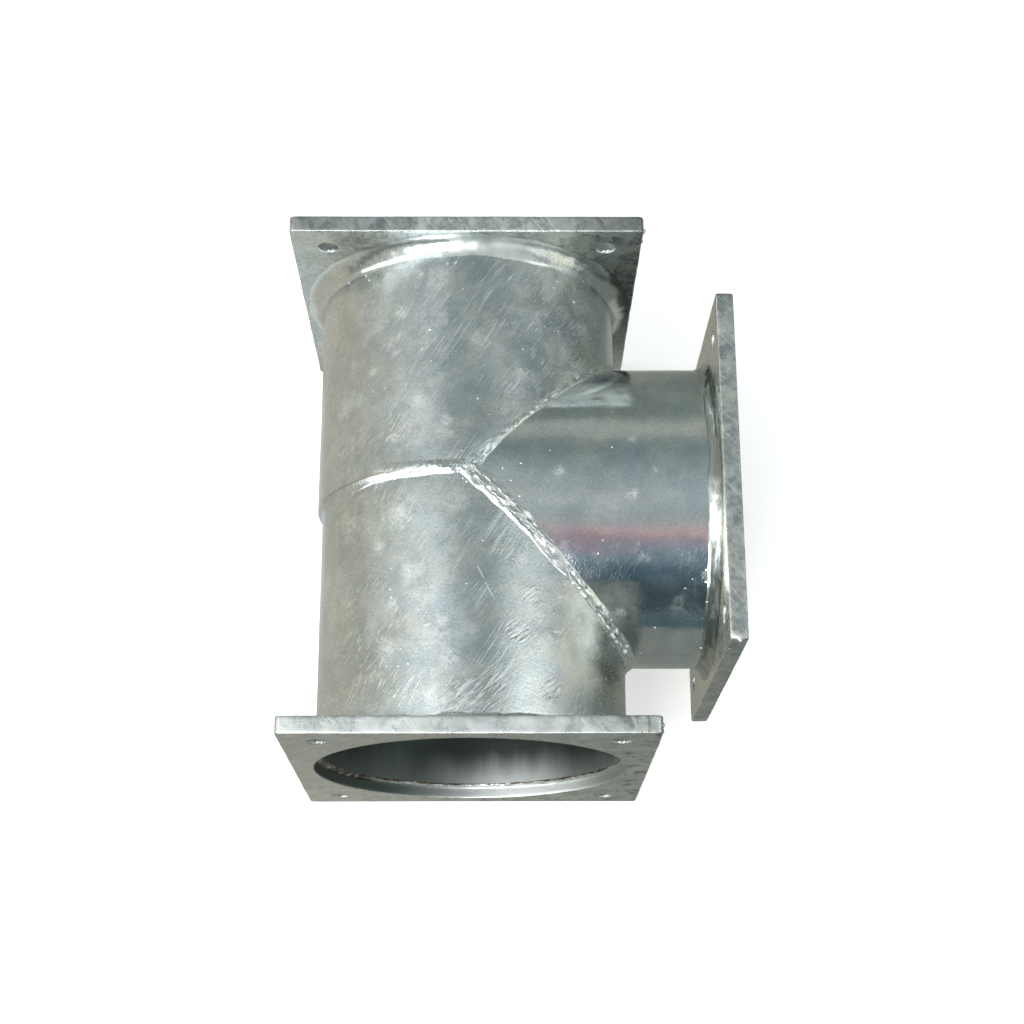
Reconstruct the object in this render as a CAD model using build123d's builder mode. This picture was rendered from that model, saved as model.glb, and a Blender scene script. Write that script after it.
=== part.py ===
"""Flanged pipe tee: three mitred lengths of eight inch pipe, a square flange on each, welded together.

The tee lies on the lower edges of its three flanges, with Z up. The run goes along Y, from the front
flange to the rear one, and the branch goes along X. The origin is the centre of the front flange's face.
All sizes are in millimetres.
"""

import os
from math import sqrt

from build123d import *

os.makedirs("parts", exist_ok=True)

# Pipe
pipe_diameter = 219.1
pipe_wall = 4.5

# Reach of each leg: flange face to branch axis for the run, run axis to flange face for the branch
front_reach = 186.5
rear_reach = 183.5
branch_reach = 182.0

# The rear leg was tacked this far out of line with the front one, away from the branch
leg_step = 3.4

# Square flanges, cut from plate, with four bolt holes on a circle. The ledge is what is left of the plate
# beside the pipe, and the bolts stand this far out from the pipe's surface.
flange_ledge = 15.45
flange_thickness = 12.0
flange_corner = 3.5
flange_edge = 0.8
bolt_offset = 30.45
bolt_hole = 14.0
bolt_count = 4

# The flange slips over the pipe with this clearance all round, and the pipe's end stays behind its face
bore_clearance = 0.45
pipe_setback = 10.4

# Fillet welds behind the flanges: the leg of each, heaviest on the rear one
fillet_leg = {"front": 5.0, "rear": 8.0, "branch": 5.5}

# Inner welds, in the recess between the pipe's end and the flange's bore
inner_leg = 3.0
inner_reach = 4.0

# Seam welds: height over the pipe, width on it and at the crest, and how far the crotch is filled
bead_height = 2.2
bead_width = 8.0
bead_crest = 3.0
crotch_fill = 2.0

# The flange's side and bolt circle follow the pipe
flange_side = pipe_diameter + 2 * flange_ledge
bolt_circle = pipe_diameter + 2 * bolt_offset

# Radii and the point where the three seams meet, seen from above
outer = pipe_diameter / 2
inner = outer - pipe_wall
bore = outer + bore_clearance
run_length = front_reach + rear_reach
seam_x = -leg_step / 2
seam_y = front_reach + leg_step / 2

# One plane per leg, on the flange's face, with its Z pointing out of the tee
legs = {
    "front": Plane(origin=(0, 0, 0), x_dir=(1, 0, 0), z_dir=(0, -1, 0)),
    "rear": Plane(origin=(-leg_step, run_length, 0), x_dir=(-1, 0, 0), z_dir=(0, 1, 0)),
    "branch": Plane(origin=(branch_reach, front_reach, 0), x_dir=(0, 1, 0), z_dir=(1, 0, 0)),
}

# Pipe length from the flange's face to the seam point
leg_length = {"front": seam_y, "rear": run_length - seam_y, "branch": branch_reach - seam_x}

# The seam planes, upright at 45 degrees through the crossings of the axes, facing the branch
front_mitre = Plane(origin=(0, front_reach, 0), x_dir=(1, -1, 0), z_dir=(1, 1, 0))
rear_mitre = Plane(origin=(-leg_step, front_reach, 0), x_dir=(1, 1, 0), z_dir=(1, -1, 0))
back_seam = Plane(origin=(seam_x, seam_y, 0), x_dir=(-1, 0, 0), z_dir=(0, 1, 0))
mitres = {"front": front_mitre, "rear": rear_mitre}


# Flanges: rounded plate, bored for the pipe, drilled for the bolts

for leg, face in legs.items():
    with BuildPart() as flange:
        with BuildSketch(face):
            RectangleRounded(flange_side, flange_side, flange_corner)
        extrude(amount=-flange_thickness)
        across = Axis(face.origin, face.z_dir)
        outline = flange.edges().filter_by(across, reverse=True)
        chamfer(outline, length=flange_edge)
        with BuildSketch(face):
            Circle(bore)
            with PolarLocations(bolt_circle / 2, bolt_count, start_angle=180 / bolt_count):
                Circle(bolt_hole / 2)
        extrude(amount=-flange_thickness, mode=Mode.SUBTRACT)
    flange.part.label = leg + "_flange"
    export_step(flange.part, "parts/" + leg + "_flange.step")


# Pipes: a straight tube from behind the flange's face to the seam point, cut back along the mitres

for leg, face in legs.items():
    with BuildPart() as pipe:
        with BuildSketch(face.offset(-pipe_setback)):
            Circle(outer)
            Circle(inner, mode=Mode.SUBTRACT)
        extrude(amount=pipe_setback - leg_length[leg])
        if leg == "branch":
            split(bisect_by=front_mitre, keep=Keep.TOP)
            split(bisect_by=rear_mitre, keep=Keep.TOP)
        else:
            split(bisect_by=mitres[leg], keep=Keep.BOTTOM)
    pipe.part.label = leg + "_pipe"
    export_step(pipe.part, "parts/" + leg + "_pipe.step")


# Fillet welds: a ring in the corner between each pipe and the back of its flange

back = -flange_thickness

for leg, face in legs.items():
    radial = Plane(origin=face.origin, x_dir=face.x_dir, z_dir=-face.y_dir)
    size = fillet_leg[leg]
    with BuildPart() as fillet_weld:
        with BuildSketch(radial):
            with BuildLine():
                Polyline((outer + size, back), (outer, back), (outer, back - size), close=True)
            make_face()
        revolve(axis=Axis(face.origin, face.z_dir))
    fillet_weld.part.label = leg + "_flange_weld"
    export_step(fillet_weld.part, "parts/" + leg + "_flange_weld.step")


# Inner welds: a ring across the pipe's end and up the flange's bore

for leg, face in legs.items():
    radial = Plane(origin=face.origin, x_dir=face.x_dir, z_dir=-face.y_dir)
    toe = (outer - inner_reach, -pipe_setback)
    root = (bore, -pipe_setback)
    head = (bore, -pipe_setback + inner_leg)
    with BuildPart() as inner_weld:
        with BuildSketch(radial):
            with BuildLine():
                Polyline(toe, root, head, close=True)
            make_face()
        revolve(axis=Axis(face.origin, face.z_dir))
    inner_weld.part.label = leg + "_inner_weld"
    export_step(inner_weld.part, "parts/" + leg + "_inner_weld.step")


# The tee's outer body as three solid bars, which the seam beads are cut back to

with BuildPart() as body:
    for leg, face in legs.items():
        with BuildSketch(face):
            Circle(outer)
        extrude(amount=-leg_length[leg])


# The bead's section, drawn on the seam: X points out of the pipe and Y across the seam.
# Its flanks run on below the surface, so that it also fills the step between the legs.

flank = (bead_width - bead_crest) / 2 / bead_height
root_depth = pipe_wall / 2
root_width = bead_crest + 2 * flank * (bead_height + root_depth)

with BuildSketch() as bead_section:
    with BuildLine():
        Polyline(
            (bead_height, bead_crest / 2),
            (bead_height, -bead_crest / 2),
            (-root_depth, -root_width / 2),
            (-root_depth, root_width / 2),
            close=True,
        )
    make_face()


# Seam welds: the bead swept along each seam, less the pipes, which leaves its cap standing out

with BuildPart() as back_weld:
    with BuildLine(back_seam) as seam:
        CenterArc((0, 0), outer, -90, 180)
    start = seam.line @ 0
    with BuildSketch(Plane(origin=start, x_dir=start - back_seam.origin, z_dir=seam.line % 0)):
        add(bead_section.sketch)
    sweep()
    add(body.part, mode=Mode.SUBTRACT)
back_weld.part.label = "back_seam_weld"
export_step(back_weld.part, "parts/back_seam_weld.step")

# The mitre beads run on past the point where the seams meet, and are parted there by upright planes
run_on = 5.0
half_turn = 90 + run_on

for leg, mitre in mitres.items():
    with BuildPart() as mitre_weld:
        with BuildLine(mitre) as seam:
            EllipticalCenterArc(
                (0, 0), sqrt(2) * outer + crotch_fill, outer, -half_turn, arc_size=2 * half_turn
            )
        start = seam.line @ 0
        with BuildSketch(Plane(origin=start, x_dir=start - mitre.origin, z_dir=seam.line % 0)):
            add(bead_section.sketch)
        sweep()
        add(body.part, mode=Mode.SUBTRACT)
        split(bisect_by=Plane.YZ.offset(seam_x), keep=Keep.TOP)
        split(bisect_by=back_seam, keep=Keep.BOTTOM if leg == "front" else Keep.TOP)
    mitre_weld.part.label = leg + "_mitre_weld"
    export_step(mitre_weld.part, "parts/" + leg + "_mitre_weld.step")
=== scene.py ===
from math import atan2, cos, degrees, hypot, pi, radians, sin, sqrt

import bmesh
import bpy
from mathutils import Matrix, Vector, noise


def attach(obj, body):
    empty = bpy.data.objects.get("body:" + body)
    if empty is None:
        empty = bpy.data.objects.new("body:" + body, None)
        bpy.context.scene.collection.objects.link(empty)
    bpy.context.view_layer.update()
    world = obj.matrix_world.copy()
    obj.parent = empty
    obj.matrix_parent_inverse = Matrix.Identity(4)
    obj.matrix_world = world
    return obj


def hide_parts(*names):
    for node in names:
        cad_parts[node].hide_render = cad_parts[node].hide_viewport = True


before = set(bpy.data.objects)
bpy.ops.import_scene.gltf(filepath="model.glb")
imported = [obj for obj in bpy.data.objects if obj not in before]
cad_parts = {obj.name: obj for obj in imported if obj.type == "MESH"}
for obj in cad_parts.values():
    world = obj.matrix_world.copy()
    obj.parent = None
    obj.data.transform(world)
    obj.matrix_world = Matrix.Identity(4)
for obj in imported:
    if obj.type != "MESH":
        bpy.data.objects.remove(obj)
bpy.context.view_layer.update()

# Sizes in metres, as in the part's source
MM = 0.001
PIPE_RADIUS = 109.55 * MM
PIPE_INNER = 105.05 * MM
BORE = 110.0 * MM
SETBACK = 10.4 * MM
PLATE = 12.0 * MM
HALF_SIDE = 125.0 * MM
BOLT_CIRCLE = 280.0 * MM
HOLE_RADIUS = 7.0 * MM
FRONT_REACH = 186.5 * MM
REAR_REACH = 183.5 * MM
BRANCH_REACH = 182.0 * MM
STEP = 3.4 * MM
RUN = FRONT_REACH + REAR_REACH
SEAM_X = -STEP / 2
SEAM_Y = FRONT_REACH + STEP / 2
FLOOR_Z = -HALF_SIDE

# The radius of a plate's worn corner, and how deep a weld's root is sunk
CORNER = 3.8 * MM
SUNK = 0.4 * MM


def link(name, data):
    """A new object in the scene."""
    made = bpy.data.objects.new(name, data)
    bpy.context.scene.collection.objects.link(made)
    return made


# ------------------------ camera

PHOTO = 1024
FOCAL = 1811.3
EYE = Vector((0.015936, -0.242868, 1.263520))
EYE_RIGHT = Vector((0.99995002, -0.00315269, 0.00948739))
EYE_UP = Vector((-0.00010925, 0.94547339, 0.32569933))
EYE_BACK = Vector((-0.0099969, -0.32568409, 0.9454258))

camera_data = bpy.data.cameras.new("camera")
camera_data.sensor_width = 36
camera_data.lens = FOCAL * camera_data.sensor_width / PHOTO
camera = link("camera", camera_data)
camera.matrix_world = Matrix.Translation(EYE) @ Matrix((EYE_RIGHT, EYE_UP, EYE_BACK)).transposed().to_4x4()
bpy.context.scene.camera = camera


def sight(px, py):
    """The direction in which the camera sees a pixel of the photograph."""
    right, up = (px - PHOTO / 2) / FOCAL, (PHOTO / 2 - py) / FOCAL
    return (EYE_RIGHT * right + EYE_UP * up - EYE_BACK).normalized()


# ------------------------ legs

def leg_frame(origin, across, outward):
    """A leg's own axes: across and up in the flange's face, and outward along the leg."""
    x, z = Vector(across), Vector(outward)
    turn = Matrix((x, z.cross(x), z)).transposed().to_4x4()
    return Matrix.Translation(origin) @ turn


LEGS = {
    "front": leg_frame((0, 0, 0), (1, 0, 0), (0, -1, 0)),
    "rear": leg_frame((-STEP, RUN, 0), (-1, 0, 0), (0, 1, 0)),
    "branch": leg_frame((BRANCH_REACH, FRONT_REACH, 0), (0, 1, 0), (1, 0, 0)),
}


def leg_length(leg, across):
    """How far the leg's pipe reaches back from the flange's face to the seam, at a place across it."""
    if leg == "front":
        return min(SEAM_Y, FRONT_REACH - across)
    if leg == "rear":
        return min(RUN - SEAM_Y, REAR_REACH + across)
    return BRANCH_REACH - max(-across, across - STEP)


def on_pipe(leg, px, py):
    """The point and normal where a pixel of the photograph falls on a leg's pipe."""
    inward = LEGS[leg].inverted()
    eye = inward @ EYE
    ray = inward.to_3x3() @ sight(px, py)
    a = ray.x ** 2 + ray.y ** 2
    b = eye.x * ray.x + eye.y * ray.y
    c = eye.x ** 2 + eye.y ** 2 - PIPE_RADIUS ** 2
    reach = (-b - sqrt(max(b * b - a * c, 0))) / a
    point = eye + ray * reach
    normal = Vector((point.x, point.y, 0)).normalized()
    return LEGS[leg] @ point, LEGS[leg].to_3x3() @ normal


def ripple(place, scale, seed=0.0):
    """Smooth noise between about -1 and 1, for a place in metres and a pattern size in metres."""
    return noise.noise(place / scale + Vector((seed, seed * 1.7, -seed)))


# ------------------------ node groups

# The headings of wiped zinc, in radians, and a share that is far outside every spot
SMEAR_TURN = 0.6
STROKE_TURN = -0.72
FAR = 9.0


def new_group(name, inputs, outputs):
    """A node group with named inputs (name: default, None for a vector) and the names of what it puts out."""
    tree = bpy.data.node_groups.new(name, "ShaderNodeTree")
    for key, value in inputs.items():
        kind = "NodeSocketVector" if value is None else "NodeSocketFloat"
        socket = tree.interface.new_socket(name=key, in_out="INPUT", socket_type=kind)
        if value is not None:
            socket.default_value = value
    for key in outputs:
        tree.interface.new_socket(name=key, in_out="OUTPUT", socket_type="NodeSocketFloat")
    return tree, tree.nodes.new("NodeGroupInput").outputs, tree.nodes.new("NodeGroupOutput").inputs


def put(tree, kind, inputs=(), **settings):
    """A node with its settings, and its inputs joined to sockets or set to values."""
    node = tree.nodes.new(kind)
    for key, value in settings.items():
        setattr(node, key, value)
    for key, value in dict(inputs).items():
        if isinstance(value, bpy.types.NodeSocket):
            tree.links.new(value, node.inputs[key])
        else:
            node.inputs[key].default_value = value
    return node


def fade(tree, value, low, high, to_low=0.0, to_high=1.0):
    """The value taken smoothly from one range to another."""
    return put(tree, "ShaderNodeMapRange", {
        "Value": value, "From Min": low, "From Max": high, "To Min": to_low, "To Max": to_high,
    }, interpolation_type="SMOOTHSTEP").outputs[0]


def sums(tree, kind, a, b):
    return put(tree, "ShaderNodeMath", {0: a, 1: b}, operation=kind).outputs[0]


def vectors(tree, kind, inputs):
    """What one step of vector arithmetic puts out: a vector, or a number as "Value"."""
    return put(tree, "ShaderNodeVectorMath", inputs, operation=kind).outputs


def plus(tree, a, b):
    return sums(tree, "ADD", a, b)


def larger(tree, a, b):
    return sums(tree, "MAXIMUM", a, b)


def times(tree, first, *others):
    for other in others:
        first = sums(tree, "MULTIPLY", first, other)
    return first


def between(tree, value, low, low_in, high, high_in):
    """A mask of the range from low_in to high_in, which fades out to low and to high."""
    return times(tree, fade(tree, value, low, low_in), fade(tree, value, high, high_in))


def axes_of(tree, vector):
    return put(tree, "ShaderNodeSeparateXYZ", {0: vector}).outputs


def turned(tree, vector, angle):
    """A place turned about the upright axis."""
    node = put(tree, "ShaderNodeVectorRotate", {"Vector": vector, "Angle": angle}, rotation_type="Z_AXIS")
    return node.outputs[0]


def pressed(tree, vector, scale):
    """A place scaled by axis, so that a pattern looked up there is drawn out along the least scaled one."""
    return put(tree, "ShaderNodeMapping", {"Vector": vector, "Scale": scale}).outputs[0]


def blend(tree, factor, low, high, kind="MIX"):
    """Two colours mixed by a mask."""
    node = put(tree, "ShaderNodeMix", {0: factor}, data_type="RGBA", blend_type=kind)
    for index, value in ((6, low), (7, high)):
        if isinstance(value, bpy.types.NodeSocket):
            tree.links.new(value, node.inputs[index])
        else:
            node.inputs[index].default_value = (*value, 1)
    return node.outputs[2]


def cloud(tree, vector, scale, detail=3.0, rough=0.5, warp=0.0):
    return put(tree, "ShaderNodeTexNoise", {
        "Vector": vector, "Scale": scale, "Detail": detail, "Roughness": rough, "Distortion": warp,
    }).outputs[0]


def make_bloom():
    """Broad clouds and smaller flecks in the zinc coat."""
    tree, given, out = new_group("zinc bloom", {"Vector": None, "Scale": 1.0},
                                 ["Clouds", "Flecks", "Patches"])
    vector, scale = given["Vector"], given["Scale"]
    broad = cloud(tree, vector, times(tree, scale, 24.0), 2.0, 0.55, 0.6)
    fine = cloud(tree, vector, times(tree, scale, 75.0), 4.0, 0.6, 0.3)
    both = plus(tree, times(tree, broad, 0.55), times(tree, fine, 0.45))
    tree.links.new(fade(tree, both, 0.32, 0.68), out["Clouds"])
    grains = cloud(tree, vector, times(tree, scale, 620.0), 3.0, 0.7)
    tree.links.new(fade(tree, grains, 0.36, 0.68), out["Flecks"])
    bend = put(tree, "ShaderNodeTexNoise", {"Vector": vector, "Scale": 60.0, "Detail": 2.0}).outputs["Color"]
    bend = vectors(tree, "SCALE", {0: bend, 3: 0.022})[0]
    bent = vectors(tree, "ADD", {0: vector, 1: bend})[0]
    cells = put(tree, "ShaderNodeTexVoronoi", {"Vector": bent, "Scale": 34.0})
    chosen = fade(tree, cells.outputs["Color"], 0.50, 0.62)
    spots = times(tree, fade(tree, cells.outputs["Distance"], 0.52, 0.10), chosen)
    swirl = cloud(tree, pressed(tree, bent, (1.0, 3.5, 1.0)), 150.0, 2.0, 0.6, 0.8)
    tree.links.new(times(tree, spots, fade(tree, swirl, 0.30, 0.62, 0.25, 1.0)), out["Patches"])
    return tree


def make_scratches():
    """Fine straight scratches in one direction, in loose bundles."""
    tree, given, out = new_group("fine scratches", {"Vector": None, "Turn": 0.0, "Amount": 0.5}, ["Mask"])
    along = pressed(tree, turned(tree, given["Vector"], given["Turn"]), (28.0, 1400.0, 300.0))
    thin = fade(tree, cloud(tree, along, 1.0, 2.0), 0.56, 0.70)
    where = fade(tree, cloud(tree, given["Vector"], 34.0, 2.0), 0.38, 0.58)
    mask = times(tree, thin, where, given["Amount"])
    tree.links.new(mask, out["Mask"])
    return tree


def make_flow():
    """The slow waves and runs that the liquid zinc left, as a height."""
    tree, given, out = new_group("zinc flow", {"Vector": None, "Scale": 1.0}, ["Height"])
    vector, scale = given["Vector"], given["Scale"]
    waves = cloud(tree, vector, times(tree, scale, 20.0), 1.0, 0.4, 0.3)
    lumps = cloud(tree, vector, times(tree, scale, 75.0), 2.0, 0.4, 0.2)
    both = plus(tree, waves, times(tree, lumps, 0.10))
    tree.links.new(both, out["Height"])
    return tree


def make_specks():
    """Small round specks, raised and bright."""
    tree, given, out = new_group("zinc specks", {"Vector": None, "Scale": 1.0, "Amount": 0.5}, ["Mask"])
    cells = put(tree, "ShaderNodeTexVoronoi", {
        "Vector": given["Vector"], "Scale": times(tree, given["Scale"], 190.0),
    })
    dots = fade(tree, cells.outputs["Distance"], 0.17, 0.07)
    chosen = fade(tree, cells.outputs["Color"], 0.66, 0.70)
    areas = fade(tree, cloud(tree, given["Vector"], 22.0, 2.0), 0.38, 0.56)
    tree.links.new(times(tree, dots, chosen, areas, given["Amount"]), out["Mask"])
    return tree


def make_spots(name, spots):
    """How far a place lies from the nearest of some spots (place, size), in shares of the spot's size."""
    tree, given, out = new_group(name, {"Vector": None}, ["Share"])
    nearest = FAR
    for centre, size in spots:
        far = vectors(tree, "DISTANCE", {0: given["Vector"], 1: centre})["Value"]
        nearest = sums(tree, "MINIMUM", sums(tree, "DIVIDE", far, size), nearest)
    tree.links.new(nearest, out["Share"])
    return tree


def make_lines(name, lines):
    """How near a place lies to the nearest of some straight lines (place, place, width): under 1 inside."""
    tree, given, out = new_group(name, {"Vector": None}, ["Share"])
    nearest = FAR
    for start, stop, width in lines:
        length = (stop - start).length
        slack = width * width / (2 * length)
        ways = (vectors(tree, "DISTANCE", {0: given["Vector"], 1: end})["Value"] for end in (start, stop))
        share = put(tree, "ShaderNodeMath", {0: plus(tree, *ways), 1: 1 / slack, 2: -length / slack},
                    operation="MULTIPLY_ADD")
        nearest = sums(tree, "MINIMUM", share.outputs[0], nearest)
    tree.links.new(nearest, out["Share"])
    return tree


def make_smears():
    """Smears of paler zinc, streaked across, where the given share of the way to a spot is small."""
    tree, given, out = new_group("zinc smears", {"Vector": None, "Share": FAR}, ["Mask"])
    edge = cloud(tree, given["Vector"], 110.0, 3.0, 0.6)
    inside = fade(tree, plus(tree, given["Share"], edge), 1.45, 0.50)
    along = pressed(tree, turned(tree, given["Vector"], SMEAR_TURN), (130.0, 420.0, 130.0))
    streaks = cloud(tree, along, 1.0, 3.0, 0.6, 1.6)
    tree.links.new(times(tree, inside, fade(tree, streaks, 0.36, 0.60, 0.15, 1.0)), out["Mask"])
    return tree


def make_strokes():
    """Short broad strokes lying side by side, as where half-set zinc was wiped."""
    tree, given, out = new_group("wiped strokes", {"Vector": None}, ["Mask", "Height"])
    along = pressed(tree, turned(tree, given["Vector"], STROKE_TURN), (95.0, 560.0, 150.0))
    strokes = cloud(tree, along, 1.0, 1.5, 0.5, 0.6)
    tree.links.new(fade(tree, strokes, 0.46, 0.64), out["Mask"])
    tree.links.new(strokes, out["Height"])
    return tree


RUST = (0.16, 0.105, 0.06)

# The zinc's own values: the angle between the two sets of scratches, the tone of freshly laid zinc, which
# also serves as a painted highlight, the roughness of a wall inside, and how high the waves and the grain
# stand
CROSSING = 0.35
CLEAN_ZINC_AND_HIGHLIGHT = (0.97, 0.99, 0.98)
WALL_ROUGH = 0.42
WAVE_HEIGHT = 4.0 * MM
GRAIN_HEIGHT = 0.3 * MM

BLOOM = make_bloom()
STROKES = make_strokes()
SMEARS = make_smears()
SCRATCHES = make_scratches()
FLOW = make_flow()
SPECKS = make_specks()


def use(tree, group, **inputs):
    node = tree.nodes.new("ShaderNodeGroup")
    node.node_tree = group
    for key, value in inputs.items():
        if isinstance(value, bpy.types.NodeSocket):
            tree.links.new(value, node.inputs[key])
        else:
            node.inputs[key].default_value = value
    return node


def zinc(name, dull, bright, rough, scale=1.0, scratch_turn=0.9, scratches=0.6, specks=0.5, wave=0.22,
         fleck=0.5, patch=0.0, grain=0.35, patch_rough=0.16, smears=(), ribs=(), scores=(), stains_and_painted_light=None,
         inside=None):
    """Galvanised steel: cloudy zinc between a dull and a bright tone, with scratches, specks and slow waves.
    Smears and ribbed patches are (place, size), score lines (place, place, width). Stains changes the colour
    by place, with rust and also with painted light and shade. Inside gives a mask of an area with a rougher
    finish, such as a bore's wall, and its brightness there, which is painted light and painted shade."""
    material = bpy.data.materials.new(name)
    material.use_nodes = True
    tree = material.node_tree
    shader = tree.nodes["Principled BSDF"]
    shader.inputs["Metallic"].default_value = 1.0
    place = tree.nodes.new("ShaderNodeTexCoord").outputs["Object"]

    bloom = use(tree, BLOOM, Vector=place, Scale=scale)
    marks, cross = (
        use(tree, SCRATCHES, Vector=place, Turn=turn, Amount=amount).outputs["Mask"]
        for turn, amount in ((scratch_turn, scratches), (scratch_turn + CROSSING, scratches * 0.6))
    )
    dots = use(tree, SPECKS, Vector=place, Scale=scale, Amount=specks).outputs["Mask"]
    flow = use(tree, FLOW, Vector=place, Scale=scale).outputs["Height"]

    clouds, flecks, patches = (bloom.outputs[n] for n in ("Clouds", "Flecks", "Patches"))
    patches = times(tree, patches, patch)
    if smears:
        near = use(tree, make_spots(name + " smears", smears), Vector=place).outputs[0]
        patches = larger(tree, patches, use(tree, SMEARS, Vector=place, Share=near).outputs["Mask"])
    if ribs:
        near = use(tree, make_spots(name + " ribs", ribs), Vector=place).outputs[0]
        strokes = use(tree, STROKES, Vector=place)
        wiped = fade(tree, near, 1.0, 0.45)
        marks = larger(tree, marks, times(tree, wiped, strokes.outputs["Mask"]))
        swing = sums(tree, "SUBTRACT", strokes.outputs["Height"], 0.5)
        flow = plus(tree, flow, times(tree, wiped, swing))
    if scores:
        near = use(tree, make_lines(name + " scores", scores), Vector=place).outputs[0]
        marks = larger(tree, marks, fade(tree, near, 1.2, 0.7))

    colour = blend(tree, clouds, dull, bright)
    tint = fade(tree, cloud(tree, place, 38.0, 4.0, 0.7, 0.4), 0.35, 0.65)
    colour = blend(tree, 1.0, colour, blend(tree, tint, (0.96, 0.99, 1.03), (1.03, 1.01, 0.97)), "MULTIPLY")
    colour = blend(tree, patches, colour, CLEAN_ZINC_AND_HIGHLIGHT)
    flecked = blend(tree, times(tree, flecks, fleck), colour, tuple(0.62 * c for c in dull))
    flecked = blend(tree, times(tree, cross, 0.7), flecked, tuple(0.5 * c for c in dull))
    marked = blend(tree, marks, flecked, (0.94, 0.96, 0.96))
    spotted = blend(tree, dots, marked, (0.95, 0.97, 0.96))
    if stains_and_painted_light:
        spotted = stains_and_painted_light(tree, place, spotted)
    satin = fade(tree, clouds, 0.0, 1.0, rough[0], rough[1])
    scuffed = plus(tree, satin, times(tree, marks, 0.16))
    scuffed = plus(tree, scuffed, times(tree, patches, patch_rough))
    scuffed = sums(tree, "SUBTRACT", scuffed, times(tree, dots, 0.08))
    if inside:
        # The inside area's tone runs from painted shade to painted light
        hidden, painted_brightness = inside(tree, place)
        spotted = blend(tree, hidden, spotted, blend(tree, painted_brightness, (0.15, 0.18, 0.17), (0.96, 1.0, 0.99)))
        scuffed = put(tree, "ShaderNodeMix", {0: hidden, 2: scuffed, 3: WALL_ROUGH}).outputs[0]
    tree.links.new(spotted, shader.inputs["Base Color"])
    tree.links.new(scuffed, shader.inputs["Roughness"])

    slow = put(tree, "ShaderNodeBump", {"Height": flow, "Strength": wave, "Distance": WAVE_HEIGHT})
    fine = sums(tree, "SUBTRACT", times(tree, flecks, 0.25), times(tree, marks, 0.5))
    fine = plus(tree, fine, times(tree, dots, 2.0))
    fine = plus(tree, fine, times(tree, patches, 0.5))
    small = put(tree, "ShaderNodeBump", {
        "Height": fine, "Strength": grain, "Distance": GRAIN_HEIGHT, "Normal": slow.outputs[0],
    })
    tree.links.new(small.outputs[0], shader.inputs["Normal"])
    return material


def from_axis(tree, place, shift=0.0):
    """The distance from the run's axis, moved sideways by the shift."""
    moved = vectors(tree, "ADD", {0: place, 1: (-shift, 0, 0)})[0]
    flat = vectors(tree, "MULTIPLY", {0: moved, 1: (1, 0, 1)})[0]
    return vectors(tree, "LENGTH", {0: flat})["Value"]


def run_inside_painted_light(tree, place):
    """The inner wall of the run: painted shade deeper in, and painted light by the front mouth, strongest
    just right of the middle.
    """
    x, y = axes_of(tree, place)[:2]
    streaks = cloud(tree, pressed(tree, place, (70.0, 9.0, 9.0)), 1.0)
    reach = plus(tree, y, fade(tree, streaks, 0.3, 0.7, -0.0035, 0.0035))
    near = times(tree, fade(tree, x, -0.05, 0.01, 0.15, 1.0), fade(tree, x, 0.077, 0.042, 0.45, 1.0))
    # Painted light by the mouth, fading to painted shade deeper in
    painted_brightness = times(tree, fade(tree, reach, 0.038, 0.011), near)
    return fade(tree, from_axis(tree, place, SEAM_X), 0.10750, 0.10710), painted_brightness


def on_top_edge(tree, z):
    """A mask of the flange's upper edge."""
    return fade(tree, z, 0.1232, 0.1240)


def rust_and_painted_top_highlight(tree, place, colour):
    """Brown marks on the front flange's face: a thin line over the bore and a few spots to its right. The
    edge on top is painted paler, brighter to the left, as a painted highlight."""
    x, _, z = axes_of(tree, place)
    patches = cloud(tree, place, 60.0, 4.0, 0.65, 0.5)
    ring = times(tree, fade(tree, from_axis(tree, place), 0.1145, 0.1105), fade(tree, z, 0.085, 0.104),
                 fade(tree, patches, 0.36, 0.6, 0.25, 1.0), 0.75)
    spots = times(tree, fade(tree, patches, 0.54, 0.64), fade(tree, x, 0.085, 0.112), 0.85)
    stained = blend(tree, larger(tree, ring, spots), colour, RUST)
    # Painted highlight along the top edge, brighter to the left
    top = times(tree, on_top_edge(tree, z), fade(tree, x, 0.12, 0.05, 0.4, 0.8),
                fade(tree, patches, 0.35, 0.6, 1.0, 0.4))
    return blend(tree, top, stained, CLEAN_ZINC_AND_HIGHLIGHT)


def bore_wall_painted_light(tree, place):
    """The wall of the front flange's bore: painted shade on the left and a painted highlight in the middle.
    """
    x = axes_of(tree, place)[0]
    middle = times(tree, fade(tree, x, -0.070, 0.01, 0.0, 1.0), fade(tree, x, 0.105, 0.065, 0.50, 1.0))
    return fade(tree, from_axis(tree, place), 0.1103, 0.1101), middle


def mouth_painted_light(tree, x):
    """The flange's bore and its weld: painted shade on the left and a painted highlight in the middle."""
    middle = times(tree, fade(tree, x, -0.075, 0.0, 0.0, 1.0), fade(tree, x, 0.105, 0.07, 0.35, 1.0))
    return blend(tree, middle, (0.30, 0.34, 0.33), (0.97, 1.0, 0.99))


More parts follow.
